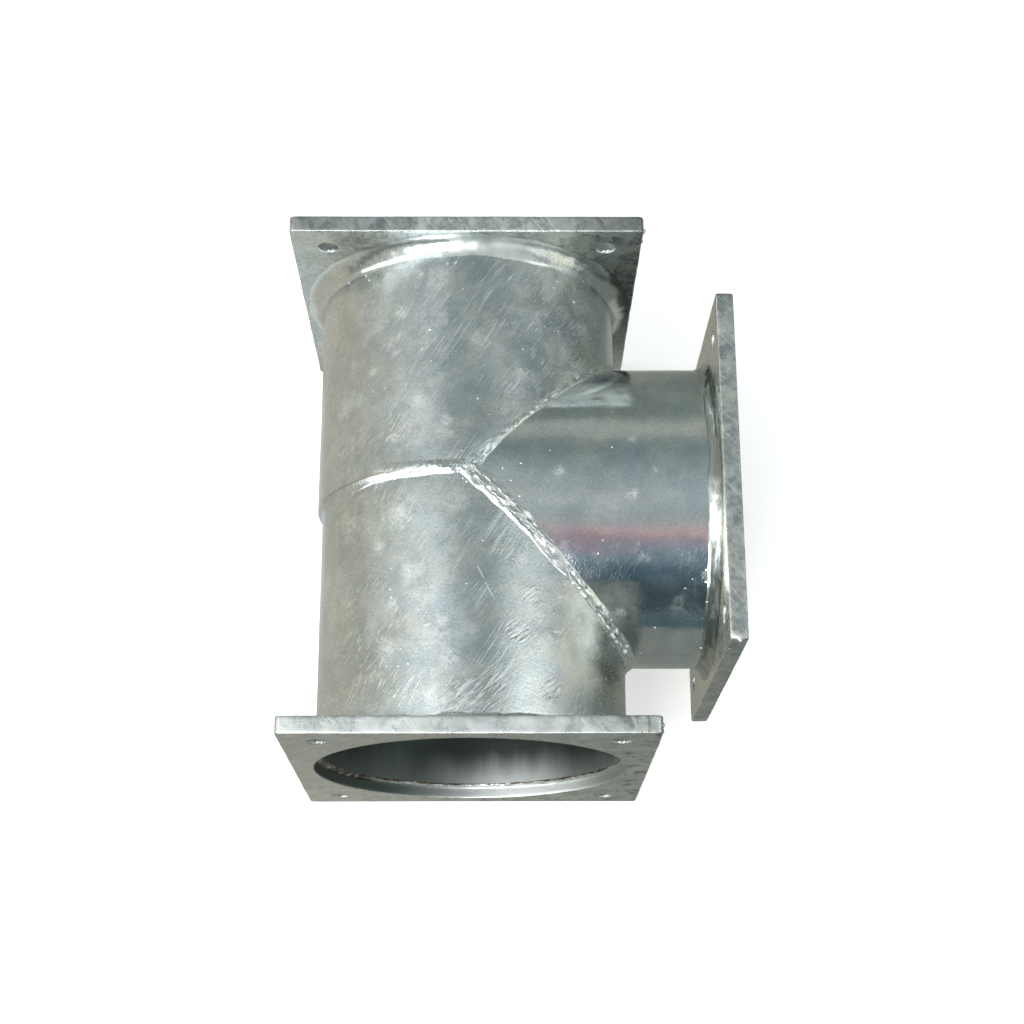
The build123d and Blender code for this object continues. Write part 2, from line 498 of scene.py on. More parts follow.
def rust_and_painted_crevice_shadow(tree, place, colour):
    """A painted shadow along the inner weld's toe, rust in its pits on the left, and the mouth's painted
    light and shade mixed in.
    """
    side = axes_of(tree, place)[0]
    # The mouth's painted shade on the left and painted highlight in the middle
    colour = blend(tree, 0.6, colour, mouth_painted_light(tree, side))
    noise_here = cloud(tree, place, 130.0, 4.0, 0.7, 0.8)
    toe = plus(tree, from_axis(tree, place), fade(tree, noise_here, 0.3, 0.7, -0.0006, 0.0006))
    # Painted shadow in the crevice at the weld's toe
    crevice_shadow = times(tree, fade(tree, toe, 0.1067, 0.1061), fade(tree, noise_here, 0.36, 0.48, 0.4, 1.0))
    pits = times(tree, fade(tree, noise_here, 0.38, 0.48), fade(tree, side, -0.066, -0.084, 0.06, 1.0))
    # One dark brown for both: painted shadow in the crevice and rust in the pits
    return blend(tree, larger(tree, crevice_shadow, times(tree, pits, 0.9)), colour, (0.07, 0.05, 0.03))


def satin_half_painted_dim(tree, place):
    """The middle of the rear fillet's right half, satin rather than bright: rougher, and painted a darker
    grey to dim its highlight, as painted shade.
    """
    x = axes_of(tree, place)[0]
    satin = times(tree, fade(tree, x, -0.022, -0.010), fade(tree, x, 0.052, 0.030))
    # Its tone: a painted grey that dims the highlight
    return satin, fade(tree, cloud(tree, place, 70.0, 3.0), 0.3, 0.7, 0.40, 0.70)


def branch_fillet_painted_shade(tree, place, colour):
    """The branch's fillet: painted shade at its toe and away from the top, so that its highlight stays a
    short strip, with fine lines there, and a painted warm reflection by the plate.
    """
    x, y = axes_of(tree, place)[:2]
    lines = cloud(tree, pressed(tree, place, (1300.0, 22.0, 22.0)), 1.0, 2.0)
    edge = plus(tree, x, fade(tree, cloud(tree, place, 90.0, 2.0), 0.3, 0.7, -0.0009, 0.0009))
    # Painted shade away from the top and, below, at the toe
    away = larger(tree, fade(tree, y, 0.128, 0.116), fade(tree, y, 0.172, 0.182))
    toe = larger(tree, fade(tree, edge, 0.1652, 0.1640), times(tree, away, 0.95))
    toe = times(tree, toe, fade(tree, lines, 0.35, 0.6, 1.0, 0.75))
    shaded_fillet = blend(tree, toe, colour, (0.32, 0.35, 0.34))
    # Painted warm reflection by the plate
    return blend(tree, fade(tree, edge, 0.1683, 0.1690, 0.0, 0.85), shaded_fillet, (0.48, 0.47, 0.44))


def warm_back_painted_reflection(tree, place, colour):
    """The inner face of the branch's plate, painted warmer: a painted reflection of the warm floor."""
    x = axes_of(tree, place)[0]
    return blend(tree, fade(tree, x, 0.1706, 0.1702), colour, (0.94, 0.90, 0.80))


def shaded_back(tree, place, colour):
    """The rear plate, whose top edge is painted brighter over the middle and darker on the right: painted
    light and painted shade.
    """
    x, _, z = axes_of(tree, place)
    shade = times(tree, fade(tree, x, -0.09, 0.01, 0.85, 1.3), fade(tree, x, 0.04, 0.10, 1.0, 0.55))
    toned = vectors(tree, "SCALE", {0: colour, 3: shade})[0]
    return blend(tree, on_top_edge(tree, z), colour, toned)


def by_leg(groups):
    """Rows of numbers, each with its group's leg in front."""
    return [(leg, *row) for leg, rows in groups for row in rows]


def at_pixels(groups):
    """Places on the pipes from (x, y, size in mm), grouped by leg."""
    return [(on_pipe(leg, x, y)[0], size * MM) for leg, x, y, size in by_leg(groups)]


def scored(groups):
    """Lines on the pipes from (x, y, x, y, width in mm), grouped by leg."""
    return [(on_pipe(leg, a, b)[0], on_pipe(leg, c, d)[0], width * MM)
            for leg, a, b, c, d, width in by_leg(groups)]


RUN_SMEARS = at_pixels([
    ("rear", [
        (440, 276, 13), (400, 312, 9), (478, 340, 13), (392, 438, 8), (418, 398, 9), (372, 372, 7),
        (520, 372, 9), (446, 420, 8),
    ]),
    ("front", [
        (400, 514, 13), (378, 548, 9), (410, 572, 12), (392, 606, 8), (386, 650, 13), (432, 694, 9),
        (440, 620, 9), (545, 640, 10), (520, 560, 8), (464, 702, 18), (450, 655, 13), (532, 702, 15),
    ]),
])
RUN_RIBS = at_pixels([
    ("front", [(472, 700, 24), (490, 680, 13), (518, 630, 10), (532, 596, 9), (552, 690, 11)]),
])
RUN_SCORES = scored([
    ("front", [(477, 565, 484, 579, 0.9), (485, 582, 495, 600, 0.8)]),
    ("rear", [(500, 330, 540, 326, 0.7)]),
    ("front", [(553, 632, 560, 632, 1.2), (557, 598, 564, 596, 1.2), (423, 626, 430, 624, 1.2)]),
])
BRANCH_SMEARS = at_pixels([
    ("branch", [(633, 440, 6), (632, 494, 7), (655, 470, 5), (560, 470, 8), (620, 612, 9)]),
])

run_zinc = zinc("run_zinc", (0.62, 0.66, 0.67), (0.80, 0.84, 0.83), (0.20, 0.30), scratch_turn=-1.0,
                scratches=0.9, specks=1.0, fleck=0.4, patch=0.6, grain=0.28, smears=RUN_SMEARS,
                ribs=RUN_RIBS, scores=RUN_SCORES, inside=run_inside_painted_light)
branch_zinc = zinc("branch_zinc", (0.62, 0.67, 0.69), (0.78, 0.83, 0.84), (0.07, 0.13), scratch_turn=-1.2,
                   scratches=0.36, specks=1.0, wave=0.30, fleck=0.35, patch=0.4, grain=0.16, patch_rough=0.36,
                   smears=BRANCH_SMEARS)
plate_look = dict(specks=0.35, wave=0.08, grain=0.5)
back_look = dict(dull=(0.46, 0.49, 0.48), bright=(0.86, 0.89, 0.87), rough=(0.22, 0.38), scale=3.2, patch=0.5,
                 **plate_look)
plate_zinc = zinc("plate_zinc", stains_and_painted_light=shaded_back, **back_look)
front_plate_zinc = zinc("front_plate_zinc", (0.52, 0.55, 0.54), (0.82, 0.85, 0.83), (0.24, 0.40), scale=3.0,
                        patch=0.3, stains_and_painted_light=rust_and_painted_top_highlight, inside=bore_wall_painted_light, **plate_look)
cove_zinc = zinc("cove_zinc", (0.68, 0.72, 0.72), (0.84, 0.88, 0.87), (0.10, 0.18), scratches=0.3, specks=1.0,
                 patch=0.3, grain=0.25, inside=satin_half_painted_dim)
branch_cove_zinc = zinc("branch_cove_zinc", (0.74, 0.78, 0.77), (0.90, 0.93, 0.92), (0.14, 0.22),
                        scratches=0.0, specks=0.6, grain=0.2, stains_and_painted_light=branch_fillet_painted_shade)
branch_plate_zinc = zinc("branch_plate_zinc", stains_and_painted_light=warm_back_painted_reflection, **back_look)
weld_zinc = zinc("weld_zinc", (0.78, 0.82, 0.81), (0.96, 0.98, 0.97), (0.20, 0.32), scale=2.0,
                 scratches=0.0, specks=0.3, wave=0.15, fleck=0.15)
inner_weld_zinc = zinc("inner_weld_zinc", (0.62, 0.65, 0.64), (0.84, 0.87, 0.86), (0.22, 0.36), scale=3.0,
                       scratches=0.0, specks=0.3, wave=0.2, fleck=0.3, stains_and_painted_light=rust_and_painted_crevice_shadow)


# ------------------------ pieces

def finish_piece(name, bm, material, nodes=(), sharp=40.0):
    """Makes the mesh a piece that rides on the tee and stands for the named CAD nodes."""
    bmesh.ops.recalc_face_normals(bm, faces=bm.faces)
    mesh = bpy.data.meshes.new(name)
    bm.to_mesh(mesh)
    bm.free()
    mesh.shade_smooth()
    mesh.set_sharp_from_angle(angle=radians(sharp))
    mesh.materials.append(material)
    piece = link(name, mesh)
    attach(piece, "root")
    if nodes:
        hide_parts(*nodes)
    return piece


def spin_section(bm, section, steps, cuts, start=0.0, turn=2 * pi):
    """A closed section of (radius, along) points spun round the leg's axis, its steps then divided."""
    heading = (cos(start), sin(start))
    verts = [bm.verts.new((r * heading[0], r * heading[1], w)) for r, w in section]
    edges = [bm.edges.new((verts[i - 1], verts[i])) for i in range(len(verts))]
    whole = abs(turn - 2 * pi) < 1e-6
    bmesh.ops.spin(bm, geom=verts + edges, cent=(0, 0, 0), axis=(0, 0, 1), angle=turn, steps=steps,
                   use_merge=whole)
    if not whole:
        bmesh.ops.holes_fill(bm, edges=[e for e in bm.edges if e.is_boundary], sides=0)
    round_edges = []
    for edge in bm.edges:
        a, b = (v.co for v in edge.verts)
        if abs(a.z - b.z) < 1e-7 and abs(hypot(a.x, a.y) - hypot(b.x, b.y)) < 1e-6:
            round_edges.append(edge)
    bmesh.ops.subdivide_edges(bm, edges=round_edges, cuts=cuts, use_grid_fill=True)


def build_pipe(leg):
    """The leg's pipe with its wall, cut to the seam, with the slight waves of a real one."""
    bm = bmesh.new()
    stations, inner_stations = 84, 24
    section = [(PIPE_RADIUS, i / stations) for i in range(stations + 1)]
    section += [(PIPE_INNER, 1 - i / inner_stations) for i in range(inner_stations + 1)]
    spin_section(bm, section, 32, 7)
    to_row = LEGS[leg]
    for vert in bm.verts:
        ring = Vector((vert.co.x, vert.co.y, 0)).normalized()
        outside = hypot(vert.co.x, vert.co.y) > (PIPE_RADIUS + PIPE_INNER) / 2
        radius = PIPE_RADIUS if outside else PIPE_INNER
        fraction = vert.co.z
        length = leg_length(leg, ring.x * radius)
        place = ring * radius
        place.z = -(SETBACK + fraction * (length - SETBACK))
        if outside:
            spot = to_row @ place
            lift = 0.38 * ripple(spot, 0.060, 3.1) + 0.08 * ripple(spot, 0.024, 8.7)
            radius += lift * min(1.0, fraction * 20) * MM
        vert.co = (ring.x * radius, ring.y * radius, place.z)
    bm.transform(to_row)
    return bm


def build_flange(leg):
    """The leg's square plate: rounded corners, bore, four bolt holes, softened and slightly uneven edges."""
    inset, softened, worn = 2.2 * MM, 1.1 * MM, 1.6 * MM
    bm = bmesh.new()
    bmesh.ops.create_grid(bm, x_segments=1, y_segments=1, size=HALF_SIDE)
    bmesh.ops.bevel(bm, geom=bm.verts[:], offset=CORNER, offset_type="OFFSET", affect="VERTICES", segments=6,
                    profile=0.5, material=-1)
    long_edges = [e for e in bm.edges if e.calc_length() > 0.1]
    bmesh.ops.subdivide_edges(bm, edges=long_edges, cuts=69)
    bmesh.ops.delete(bm, geom=bm.faces[:], context="FACES_ONLY")
    bmesh.ops.create_circle(bm, cap_ends=False, radius=BORE, segments=256)
    hole = BOLT_CIRCLE / 2 / sqrt(2)
    for x in (-hole, hole):
        for y in (-hole, hole):
            bmesh.ops.create_circle(bm, cap_ends=False, radius=HOLE_RADIUS, segments=48,
                                    matrix=Matrix.Translation((x, y, 0)))
    bmesh.ops.triangle_fill(bm, edges=bm.edges[:], use_beauty=True, normal=(0, 0, 1))
    bmesh.ops.inset_region(bm, faces=bm.faces[:], thickness=inset, use_even_offset=True, use_boundary=True)
    made = bmesh.ops.extrude_face_region(bm, geom=bm.faces[:])["geom"]
    bmesh.ops.translate(bm, vec=(0, 0, -PLATE), verts=[v for v in made if isinstance(v, bmesh.types.BMVert)])
    bmesh.ops.recalc_face_normals(bm, faces=bm.faces)
    uprights = [e for e in bm.edges if abs(e.verts[0].co.z - e.verts[1].co.z) > 0.9 * PLATE]
    bmesh.ops.subdivide_edges(bm, edges=uprights, cuts=3, use_grid_fill=True)
    rims = [e for e in bm.edges if len(e.link_faces) == 2 and e.calc_face_angle() > radians(60)
            and abs(e.verts[0].co.z - e.verts[1].co.z) < 1e-6]
    bmesh.ops.bevel(bm, geom=rims, offset=softened, offset_type="OFFSET", affect="EDGES", segments=4,
                    profile=0.5, material=-1, clamp_overlap=True)
    to_row = LEGS[leg]
    for vert in bm.verts:
        out = max(abs(vert.co.x), abs(vert.co.y))
        if out > HALF_SIDE - worn:
            place = to_row @ vert.co
            pull = 0.28 + 0.30 * ripple(place, 0.030, 1.3) + 0.22 * ripple(place, 0.009, 5.9)
            shrink = 1 - max(pull, 0.0) * MM / HALF_SIDE
            vert.co.x *= shrink
            vert.co.y *= shrink
    bm.transform(to_row)
    return bm


def build_fillet(leg, size, uneven, lumpy, hollow=0.0, coarse=1.0):
    """The weld behind the leg's flange: smooth under its zinc, with wandering toes and a few lumps. Fully
    hollow, it is a cove that runs out smoothly into the pipe and the plate. Coarse stretches the lumps."""
    bm = bmesh.new()
    count = 16
    back = -PLATE
    root, skin = PIPE_RADIUS - SUNK, 0.05 * MM
    section = [(PIPE_RADIUS + size * i / count, back - size * (1 - i / count)) for i in range(count + 1)]
    section.append((root, back + SUNK))
    spin_section(bm, section, 48, 17)
    to_row = LEGS[leg]
    for vert in bm.verts:
        ring = Vector((vert.co.x, vert.co.y, 0)).normalized()
        share = (vert.co.z - back + size) / size
        if share > 1.01:
            vert.co.x, vert.co.y = ring.x * root, ring.y * root
            continue
        share = min(max(share, 0.0), 1.0)
        place = to_row @ (ring * PIPE_RADIUS)
        wander = 0.8 * ripple(place, 0.050 * coarse, 2.0) + 0.3 * ripple(place, 0.014 * coarse, 7.0)
        wander_out = 0.7 * ripple(place, 0.044 * coarse, 12.0) + 0.3 * ripple(place, 0.012, 17.0)
        wander, wander_out = (max(1 + uneven * way, 0.3) for way in (wander, wander_out))
        spot = place + Vector((0, 0, share * size))
        lumps = lumpy * (0.8 * ripple(spot, 0.016 * coarse, 21.0) + 0.3 * ripple(spot, 0.006, 25.0))
        swell = sin(pi * share) * size * (0.05 + 0.14 * lumps)
        rise = share + (1 - cos(share * pi / 2) - share) * hollow
        run_out = 1 - share + (share - sin(share * pi / 2)) * hollow
        slanted = swell * 0.7071
        radius = PIPE_RADIUS + size * rise * wander_out + slanted + skin
        vert.co.x, vert.co.y = ring.x * radius, ring.y * radius
        vert.co.z = back - size * run_out * wander - slanted - skin
    bm.transform(to_row)
    return bm


def build_inner_weld(leg, uneven=0.4):
    """The rough weld inside the flange's bore, across the pipe's end."""
    bm = bmesh.new()
    count = 10
    low, high = -SETBACK, -SETBACK + 3.0 * MM
    toe, root = PIPE_RADIUS - 4.0 * MM, BORE + 0.3 * MM
    section = [(toe + (BORE - toe) * i / count, low + (high - low) * i / count) for i in range(count + 1)]
    section.append((root, low - SUNK))
    spin_section(bm, section, 48, 17)
    to_row = LEGS[leg]
    for vert in bm.verts:
        ring = Vector((vert.co.x, vert.co.y, 0)).normalized()
        share = (vert.co.z - low) / (high - low)
        if share < -0.01:
            vert.co.x, vert.co.y = ring.x * root, ring.y * root
            continue
        arc = ring * PIPE_RADIUS
        place = to_row @ (arc + Vector((0, 0, share * 5 * MM)))
        bump = 0.7 + uneven * (1.2 * ripple(place, 0.016, 31.0) + 0.7 * ripple(place, 0.006, 33.0))
        swell = sin(pi * min(max(share, 0), 1)) * bump * MM
        edge = (1 - share) * uneven * 1.4 * ripple(place, 0.018, 38.0) * MM
        radius = toe + (BORE - toe) * share + edge - 0.3 * swell
        vert.co.x, vert.co.y = ring.x * radius, ring.y * radius
        vert.co.z += 0.9 * swell
    bm.transform(to_row)
    return bm


def keyed(table, at):
    """A value read from listed (place, value) pairs, with smooth steps between them."""
    if at <= table[0][0]:
        return table[0][1]
    for (a, low), (b, high) in zip(table, table[1:]):
        if at <= b:
            t = (at - a) / (b - a)
            return low + (high - low) * t * t * (3 - 2 * t)
    return table[-1][1]


def build_bead(to_row, stretch, turn, widths, heights, rough, steps, grooves=(), crests=((0, 0),), lean=0.0,
               valley=0.0):
    """A weld bead over a seam. Its width and height in mm, its roughness and its crest's shift to one side
    are set along it, by the angle from the top in degrees. Grooves are (side, depth, half width, from, to).
    A bead that leans bridges the step between two pipes, and one in a valley rides up their sides."""
    bm = bmesh.new()
    count = 30
    sunk = PIPE_RADIUS - 3.0 * MM
    section = [(PIPE_RADIUS, (i / count - 0.5) * 2) for i in range(count + 1)]
    section += [(sunk, 0.8), (sunk, -0.8)]
    spin_section(bm, section, steps, 23, -turn / 2, turn)
    for vert in bm.verts:
        ring = Vector((vert.co.x, vert.co.y, 0)).normalized()
        top = hypot(vert.co.x, vert.co.y) > PIPE_RADIUS - 1.5 * MM
        from_top = abs(90 - abs(degrees(atan2(ring.y, ring.x))))
        side = vert.co.z
        arc = ring * PIPE_RADIUS
        unevenness = keyed(rough, from_top)
        half = keyed(widths, from_top) / 2 * MM
        wide_waves, fine_waves = ripple(arc, 0.022, 41.0 + side), ripple(arc, 0.007, 44.0 - side)
        half *= 1 + 0.28 * wide_waves + 0.14 * unevenness * fine_waves
        vert.co.z = side * half
        radius = sunk
        if top:
            crest = keyed(crests, from_top)
            flank = (side - crest) / (1 + crest if side < crest else 1 - crest)
            crown = max(1 - flank * flank, 0.0) ** 0.8
            place = arc + Vector((0, 0, vert.co.z))
            lumps = 0.30 * ripple(place, 0.012, 51.0)
            lumps += unevenness * (0.62 * ripple(place, 0.0046, 53.0) + 0.24 * ripple(place, 0.0022, 59.0))
            for at, depth, wide, start, stop in grooves:
                if start < from_top < stop:
                    ends = min(1.0, (from_top - start) / 3, (stop - from_top) / 3)
                    lumps -= ends * depth * max(0.0, 1 - abs(side - at) / wide)
            high = keyed(heights, from_top) * MM
            slope = lean * ring.x * side * (1.5 - 0.5 * side * side)
            rise = half * ring.x * valley * (0.6 + 0.4 * side * side)
            radius = PIPE_RADIUS + slope + rise + high * crown * (1 + lumps) - 0.08 * MM
        vert.co.x, vert.co.y = ring.x * radius, ring.y * radius
    bmesh.ops.scale(bm, vec=(stretch, 1, 1), verts=bm.verts[:])
    bm.transform(to_row)
    return bm


PIPE_ZINC = {"front": run_zinc, "rear": run_zinc, "branch": branch_zinc}
PLATE_ZINC = {"front": front_plate_zinc, "rear": plate_zinc, "branch": branch_plate_zinc}
for leg in LEGS:
    finish_piece(leg + "_leg_pipe", build_pipe(leg), PIPE_ZINC[leg], [leg + "_pipe"])
    finish_piece(leg + "_square_flange", build_flange(leg), PLATE_ZINC[leg], [leg + "_flange"],
                 sharp=50)

# The fillets: size, how far the toes wander, lumps, hollow and coarseness
FILLETS = {
    "front": (5.5 * MM, 0.7, 1.0, 0.3, 0.45, weld_zinc),
    "rear": (12.5 * MM, 0.30, 0.35, 1.0, 1.6, cove_zinc),
    "branch": (8.4 * MM, 0.2, 0.5, 0.9, 0.6, branch_cove_zinc),
}
for leg, (*shape, coat) in FILLETS.items():
    finish_piece(leg + "_fillet", build_fillet(leg, *shape), coat, [leg + "_flange_weld"])
for leg in LEGS:
    finish_piece(leg + "_bore_weld", build_inner_weld(leg), inner_weld_zinc,
                 [leg + "_inner_weld"])

# Seam beads. Each is drawn round its own axis: X points along the seam's plane, Y up.
back_axes = leg_frame((SEAM_X, SEAM_Y, 0), (-1, 0, 0), (0, 1, 0))
front_axes = leg_frame((0, FRONT_REACH, 0), (1 / sqrt(2), -1 / sqrt(2), 0), (-1 / sqrt(2), -1 / sqrt(2), 0))
rear_axes = leg_frame((-STEP, FRONT_REACH, 0), (1 / sqrt(2), 1 / sqrt(2), 0), (1 / sqrt(2), -1 / sqrt(2), 0))

back_bead = build_bead(back_axes, 1.0, radians(181), [(0, 9), (20, 11), (36, 12), (46, 18), (90, 18)],
                       [(0, 1.4), (15, 1.9), (28, 1.4), (38, 0.5), (48, 0.03)],
                       [(0, 1.0), (9, 0.9), (16, 0.3), (40, 0.1)], 24, lean=STEP / 2)
finish_piece("back_seam_bead", back_bead, run_zinc, ["back_seam_weld"])

front_bead = build_bead(front_axes, sqrt(2), radians(182),
                        [(0, 13), (8, 13), (17, 11.5), (24, 9.5), (36, 9), (44, 8), (60, 9), (90, 10)],
                        [(0, 1.6), (10, 2.0), (20, 2.2), (28, 2.4), (36, 2.2), (50, 1.6), (90, 1.4)],
                        [(0, 1.2), (18, 1.1), (24, 0.5), (34, 0.5), (39, 1.2), (90, 1.2)], 34,
                        [(-0.30, 0.7, 0.12, 3, 20), (0.45, 1.7, 0.12, 2, 26), (0.15, 1.6, 0.24, 37, 72)],
                        [(0, 0.25), (16, 0.2), (25, -0.35), (38, -0.25), (44, 0), (90, 0)],
                        valley=1 / sqrt(2))
finish_piece("front_mitre_bead", front_bead, weld_zinc, ["front_mitre_weld"])

rear_bead = build_bead(rear_axes, sqrt(2), radians(182),
                       [(0, 11), (7, 9), (13, 5.5), (24, 4.8), (34, 5), (46, 7), (90, 10)],
                       [(0, 1.6), (12, 1.8), (22, 1.5), (34, 1.3), (60, 1.3), (90, 1.4)],
                       [(0, 1.3), (10, 1.2), (24, 1.2), (40, 0.9), (90, 0.8)], 34,
                       [(0.1, 1.2, 0.2, 36, 70)], valley=1 / sqrt(2))
finish_piece("rear_mitre_bead", rear_bead, weld_zinc, ["rear_mitre_weld"])


# ------------------------ zinc drops

UP = Vector((0, 0, 1))


def add_drop(bm, point, normal, radius, flat, long=1.0, heading=UP, fine=2):
    """One frozen drop of zinc, half sunk in the surface, drawn out along a heading."""
    up = Vector(normal).normalized()
    side = up.cross(Vector(heading))
    if side.length < 0.1:
        side = up.cross(Vector((1, 0, 0)))
    side.normalize()
    along = side.cross(up)
    turn = Matrix((side, along, up)).transposed().to_4x4()
    size = Matrix.Diagonal((radius, radius * long, radius * flat, 1))
    place = Matrix.Translation(point) @ turn @ size
    bmesh.ops.create_icosphere(bm, subdivisions=fine, radius=1.0, matrix=place)


drops = bmesh.new()

# Drops on the run and the branch, at their pixels in the photograph: x, y, radius in mm, grouped by leg
PIPE_DROPS = [
    ("front", [
        (610, 603, 0.9), (614, 646, 0.8), (483, 540, 0.7), (463, 478, 0.8), (467, 481, 0.9), (474, 471, 1.7),
        (493, 493, 1.5), (497, 498, 1.3), (500, 495, 1.3), (509, 500, 0.9), (519, 512, 1.7), (514, 512, 0.8),
        (524, 518, 1.0), (572, 557, 1.5), (578, 568, 1.5), (567, 544, 1.3), (592, 584, 1.4), (589, 580, 1.1),
        (597, 594, 1.0), (612, 620, 1.1), (616, 624, 1.0), (457, 468, 1.3), (461, 470, 1.0), (561, 537, 1.2),
    ]),
    ("rear", [
        (467, 462, 1.9), (474, 458, 1.2), (456, 466, 1.0),
    ]),
    ("branch", [
        (503, 468, 0.9), (511, 480, 0.8), (521, 463, 0.9), (520, 496, 0.9), (485, 452, 1.1), (488, 449, 1.0),
        (481, 460, 0.9), (486, 455, 1.2), (640, 653, 1.0), (655, 628, 1.0), (701, 648, 1.1), (702, 654, 0.9),
        (603, 540, 0.6), (612, 447, 0.7), (550, 450, 0.6), (706, 582, 1.1), (707, 602, 1.0),
    ]),
    ("rear", [
        (356, 262, 1.1), (360, 268, 1.0), (349, 273, 1.0), (349, 283, 0.8), (331, 284, 0.8), (330, 290, 1.0),
        (366, 276, 0.8), (369, 280, 0.8), (381, 261, 1.6), (389, 258, 1.2), (387, 274, 0.6), (586, 275, 0.9),
        (583, 281, 0.8), (574, 302, 1.1), (557, 281, 0.9), (554, 288, 0.9), (430, 329, 1.0), (422, 349, 0.7),
        (478, 398, 0.8), (523, 349, 0.7),
    ]),
]
for leg, px, py, radius in by_leg(PIPE_DROPS):
    point, normal = on_pipe(leg, px, py)
    add_drop(drops, point, normal, radius * MM, flat=0.6)

# Drips and spikes on the plates' edges: place in metres, radius in mm, drawn out, heading
EDGE_DROPS = [
    ((0.1192, 0.3605, 0.1205), 2.5, 1.6, (1, 0, 0)), ((0.1195, 0.3620, 0.1140), 2.3, 1.2, (1, 0, 0)),
    ((0.1192, 0.3600, 0.1060), 2.1, 1.6, (1, 0, 0)), ((0.1765, 0.0645, 0.1220), 2.6, 1.6, (0, -1, 0)),
    ((0.1780, 0.0640, 0.1180), 2.0, 1.4, (0, -1, 0)), ((0.1720, 0.0640, 0.1010), 1.8, 1.6, (0, -1, 0)),
    ((0.1225, 0.0060, 0.1210), 2.5, 1.3, (1, 0, 0)), ((0.1230, 0.0030, 0.1175), 2.2, 1.2, (1, 0, 0)),
]
for point, radius, long, heading in EDGE_DROPS:
    add_drop(drops, Vector(point), UP, radius * MM, flat=0.8, long=long, heading=heading)

# Beads along the front plate's upper front lip, from left to right
LIP_DROPS = [
    (-0.1060, 0.7), (-0.1005, 0.9), (-0.0975, 0.7), (-0.0915, 0.8), (-0.0600, 0.6), (0.0790, 0.8),
    (0.0835, 0.6), (0.0880, 0.9), (0.0930, 0.7), (0.1000, 0.9), (0.1060, 0.8), (0.1100, 1.0), (0.1150, 0.7),
]
for x, radius in LIP_DROPS:
    add_drop(drops, Vector((x, 0.0012, 0.1236)), UP, radius * MM, flat=0.9)

# Zinc left in the upper bolt holes' lower rims, just behind the face that is seen
RIM, BEHIND, HALF_PITCH = 6.6 * MM, 1.5 * MM, 99.0 * MM
for x in (-HALF_PITCH, HALF_PITCH):
    for shift, along in ((0.0, BEHIND), (-STEP, RUN - PLATE + BEHIND)):
        for turn, radius in ((-66, 1.7), (-92, 2.0)):
            edge = Vector((RIM * cos(radians(turn)), 0, RIM * sin(radians(turn))))
            add_drop(drops, edge + Vector((x + shift, along, HALF_PITCH)), UP, radius * MM, flat=0.7, fine=1)

finish_piece("zinc_drops", drops, weld_zinc, sharp=180)


# ------------------------ floor, light

def by_camera(tree, mirrored, seen, kind):
    """Puts out one shader to the camera and another to what mirrors it."""
    path = tree.nodes.new("ShaderNodeLightPath")
    chosen = put(tree, "ShaderNodeMixShader", {
        0: path.outputs["Is Camera Ray"], 1: mirrored.outputs[0], 2: seen.outputs[0],
    })
    put(tree, kind, {"Surface": chosen.outputs[0]})


# What the metal mirrors on the floor, painted light and shade: the tones of a painted lit patch left of the
# tee, a painted lit gap behind the branch and a painted shadow under the branch, with the x and y where each
# fades in and out
FLOOR_PAINTED_LIGHT_AND_SHADE = [
    ((0.68, 0.73, 0.71), (-0.21, -0.17, 0.0, -0.09), (0.10, 0.16, 0.36, 0.33)),
    ((0.40, 0.40, 0.365), (0.09, 0.13, 0.26, 0.19), (0.33, 0.36, 0.45, 0.40)),
    ((0.04, 0.05, 0.04), (0.04, 0.09, 0.26, 0.19), (0.16, 0.20, 0.345, 0.315)),
]


def make_floor():
    """A pale floor, evenly bright to the camera with a little glow. The metal mirrors it as a glowing warm
    grey ground painted with light and shade: painted shade towards the branch's side, darker in front,
    painted lit patches and a painted shadow.
    """
    bm = bmesh.new()
    bmesh.ops.create_grid(bm, x_segments=1, y_segments=1, size=6.0,
                          matrix=Matrix.Translation((0, 0, FLOOR_Z)))
    mesh = bpy.data.meshes.new("floor")
    bm.to_mesh(mesh)
    bm.free()
    material = bpy.data.materials.new("floor_pale")
    material.use_nodes = True
    tree = material.node_tree
    tree.nodes.clear()
    x, y = axes_of(tree, tree.nodes.new("ShaderNodeTexCoord").outputs["Object"])[:2]
    # The mirrored ground glows as painted light: warm on the left, painted shade on the branch's side, darker
    # in front and farther in front
    ground = blend(tree, fade(tree, x, -0.25, 0.30), (0.53, 0.51, 0.435), (0.20, 0.225, 0.205))
    ground = blend(tree, fade(tree, y, 0.05, -0.25), ground, (0.26, 0.275, 0.25))
    far = times(tree, fade(tree, y, -0.34, -0.46), fade(tree, x, -0.12, 0.0))
    ground = blend(tree, far, ground, (0.10, 0.14, 0.15))
    for tone, wide, deep in FLOOR_PAINTED_LIGHT_AND_SHADE:
        ground = blend(tree, times(tree, between(tree, x, *wide), between(tree, y, *deep)), ground, tone)
    seen = put(tree, "ShaderNodeBsdfDiffuse", {"Color": (0.93, 0.93, 0.925, 1)})
    glow = put(tree, "ShaderNodeEmission", {"Color": (1, 1, 1, 1), "Strength": 0.52})
    lit = put(tree, "ShaderNodeAddShader", {0: seen.outputs[0], 1: glow.outputs[0]})
    mirrored = put(tree, "ShaderNodeEmission", {"Color": ground, "Strength": 1.0})
    by_camera(tree, mirrored, lit, "ShaderNodeOutputMaterial")
    mesh.materials.append(material)
    floor = link("floor", mesh)


